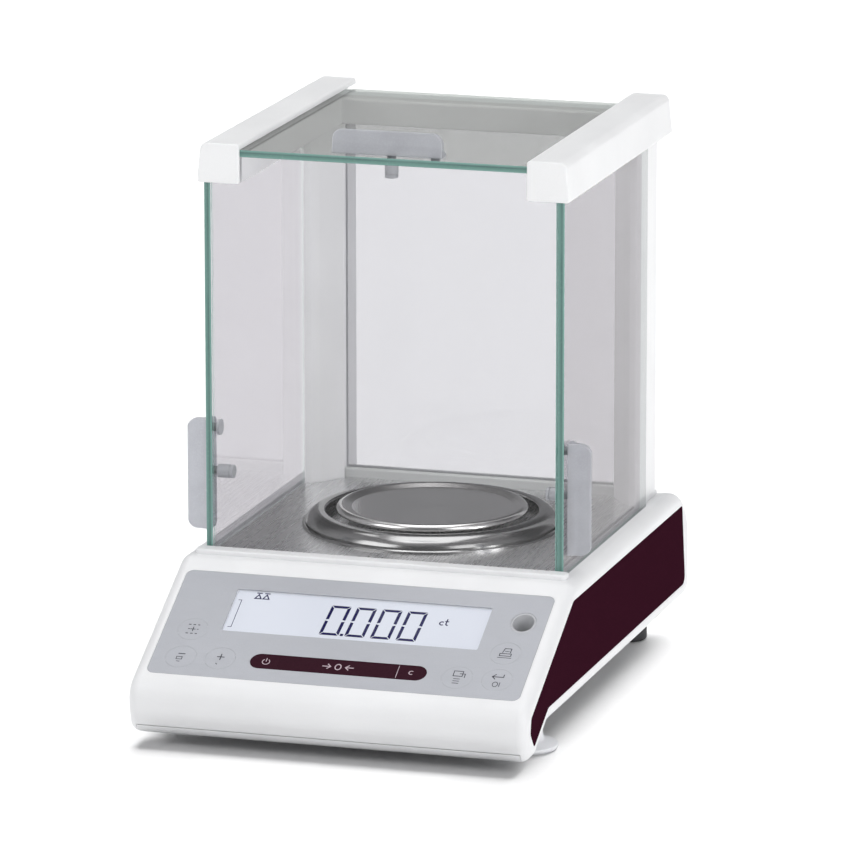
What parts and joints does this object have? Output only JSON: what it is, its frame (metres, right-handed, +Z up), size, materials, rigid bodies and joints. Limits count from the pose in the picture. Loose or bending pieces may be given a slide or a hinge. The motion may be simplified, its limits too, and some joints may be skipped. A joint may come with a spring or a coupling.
{
  "type": "analytical balance",
  "caption": "Electronic precision balance with a sloped keypad and display, a round pan in a wind ring, and a glass draft shield with sliding doors.",
  "frame": {"origin": "on the table, under the centre of the base and of the widest pieces, the door handles", "axes": "+Z up, +Y from the keypad to the rear, +X to the right of a person at the display"},
  "size_m": [0.193, 0.28, 0.2686],
  "materials": {
    "housing_white": "fine moulded texture",
    "maroon_panel": "printed film, satin",
    "overlay_grey": "printed film, satin",
    "window_clear": "clear",
    "lcd_pale": "smooth",
    "backlight_white": "diffuse",
    "board_green": "solder mask",
    "dome_steel": "satin",
    "key_maroon": "printed film, satin",
    "cup_grey": "moulded",
    "vial_clear": "clear",
    "floor_steel": "brushed",
    "ring_steel": "turned and polished",
    "pan_steel": "fine brushed",
    "cell_aluminium": "milled",
    "spring_steel": "bright",
    "coil_copper": "wound wire",
    "magnet_iron": "black plated",
    "ribbon_grey": "flat cable",
    "socket_black": "moulded",
    "socket_metal": "nickel plated",
    "pane_glass": "clear float glass, green edges",
    "frame_white": "fine moulded texture",
    "handle_smoke": "smoky, satin",
    "peg_grey": "moulded",
    "foot_grey": "moulded",
    "foot_rubber": "matte",
    "cover_grey": "moulded",
    "screw_steel": "zinc plated"
  },
  "bodies": {
    "base": {"upper_housing": "housing_white", "lower_housing": "housing_white", "left_side_panel": "maroon_panel", "right_side_panel": "maroon_panel", "keypad_overlay": "overlay_grey", "display_window": "window_clear", "lcd_panel": "lcd_pale", "lcd_backlight": "backlight_white", "display_board": "board_green", "key_domes": "dome_steel", "level_cup": "cup_grey", "level_vial": "vial_clear", "chamber_floor": "floor_steel", "parallel_guides": "spring_steel", "cell_frame": "cell_aluminium", "magnet": "magnet_iron", "position_sensor": "board_green", "main_board": "board_green", "display_ribbon": "ribbon_grey", "power_socket": "socket_black", "usb_socket": "socket_metal", "serial_socket": "socket_metal", "front_glass": "pane_glass", "rear_glass": "pane_glass", "rear_sill": "frame_white", "left_post": "frame_white", "right_post": "frame_white", "rear_crossbeam": "frame_white", "left_rail": "frame_white", "right_rail": "frame_white", "rear_feet": "foot_rubber", "housing_screws": "screw_steel", "post_screws": "screw_steel"},
    "left_door": {"left_door_glass": "pane_glass", "left_door_handle": "handle_smoke", "left_handle_pegs": "peg_grey"},
    "right_door": {"right_door_glass": "pane_glass", "right_door_handle": "handle_smoke", "right_handle_pegs": "peg_grey"},
    "top_door": {"top_door_glass": "pane_glass", "top_door_handle": "handle_smoke", "top_handle_pegs": "peg_grey"},
    "receiver": {"load_receiver": "cell_aluminium", "pan_support": "cell_aluminium"},
    "pan": {"weighing_pan": "pan_steel"},
    "ring": {"draft_ring": "ring_steel"},
    "lever": {"cell_lever": "cell_aluminium", "coil": "coil_copper"},
    "left_foot": {"left_front_foot": "foot_grey"},
    "right_foot": {"right_front_foot": "foot_grey"},
    "hook_flap": {"hook_cover": "cover_grey"},
    "on_off_button": {"on_off_key": "key_maroon"},
    "tare_button": {"tare_key": "key_maroon"},
    "adjust_button": {"adjust_key": "key_maroon"},
    "minus_button": {"minus_key": "overlay_grey"},
    "plus_button": {"plus_key": "overlay_grey"},
    "unit_button": {"unit_key": "overlay_grey"},
    "print_button": {"print_key": "overlay_grey"},
    "menu_button": {"menu_key": "overlay_grey"},
    "enter_button": {"enter_key": "overlay_grey"}
  },
  "joints": [
    {"name": "left_door_slide", "type": "slide", "parent": "base", "child": "left_door", "axis": [0, 1, 0], "range_m": [0, 0.122]},
    {"name": "right_door_slide", "type": "slide", "parent": "base", "child": "right_door", "axis": [0, 1, 0], "range_m": [0, 0.122]},
    {"name": "top_door_slide", "type": "slide", "parent": "base", "child": "top_door", "axis": [0, 1, 0], "range_m": [0, 0.14]},
    {"name": "load_travel", "type": "slide", "parent": "base", "child": "receiver", "axis": [0, 0, -1], "range_m": [0, 0.0002], "stiffness_N_per_m": 5000, "springref_m": -0.002},
    {"name": "lever_swing", "type": "hinge", "parent": "base", "child": "lever", "pos_m": [0, 0.064, 0.047], "axis": [1, 0, 0], "range_deg": [0, 0.42]},
    {"name": "pan_lift", "type": "slide", "parent": "receiver", "child": "pan", "axis": [0, 0, 1], "range_m": [0, 0.03]},
    {"name": "ring_lift", "type": "slide", "parent": "base", "child": "ring", "axis": [0, 0, 1], "range_m": [0, 0.02]},
    {"name": "left_foot_turn", "type": "hinge", "parent": "base", "child": "left_foot", "pos_m": [-0.08, -0.095, 0], "axis": [0, 0, 1], "continuous": true},
    {"name": "right_foot_turn", "type": "hinge", "parent": "base", "child": "right_foot", "pos_m": [0.08, -0.095, 0], "axis": [0, 0, 1], "continuous": true},
    {"name": "hook_cover_swing", "type": "hinge", "parent": "base", "child": "hook_flap", "pos_m": [0, 0.043, 0.015], "axis": [0, 0, 1], "range_deg": [0, 90]},
    {"name": "on_off_press", "type": "slide", "parent": "base", "child": "on_off_button", "axis": [0, 0.4778, -0.8785], "range_m": [0, 0.00035], "stiffness_N_per_m": 2500},
    {"name": "tare_press", "type": "slide", "parent": "base", "child": "tare_button", "axis": [0, 0.4778, -0.8785], "range_m": [0, 0.00035], "stiffness_N_per_m": 2500},
    {"name": "adjust_press", "type": "slide", "parent": "base", "child": "adjust_button", "axis": [0, 0.4778, -0.8785], "range_m": [0, 0.00035], "stiffness_N_per_m": 2500},
    {"name": "minus_press", "type": "slide", "parent": "base", "child": "minus_button", "axis": [0, 0.4778, -0.8785], "range_m": [0, 0.00035], "stiffness_N_per_m": 2500},
    {"name": "plus_press", "type": "slide", "parent": "base", "child": "plus_button", "axis": [0, 0.4778, -0.8785], "range_m": [0, 0.00035], "stiffness_N_per_m": 2500},
    {"name": "unit_press", "type": "slide", "parent": "base", "child": "unit_button", "axis": [0, 0.4778, -0.8785], "range_m": [0, 0.00035], "stiffness_N_per_m": 2500},
    {"name": "print_press", "type": "slide", "parent": "base", "child": "print_button", "axis": [0, 0.4778, -0.8785], "range_m": [0, 0.00035], "stiffness_N_per_m": 2500},
    {"name": "menu_press", "type": "slide", "parent": "base", "child": "menu_button", "axis": [0, 0.4778, -0.8785], "range_m": [0, 0.00035], "stiffness_N_per_m": 2500},
    {"name": "enter_press", "type": "slide", "parent": "base", "child": "enter_button", "axis": [0, 0.4778, -0.8785], "range_m": [0, 0.00035], "stiffness_N_per_m": 2500}
  ],
  "couplings": [
    {"joint": "lever_swing", "follows": "load_travel", "rad_per_m": 35.714}
  ]
}
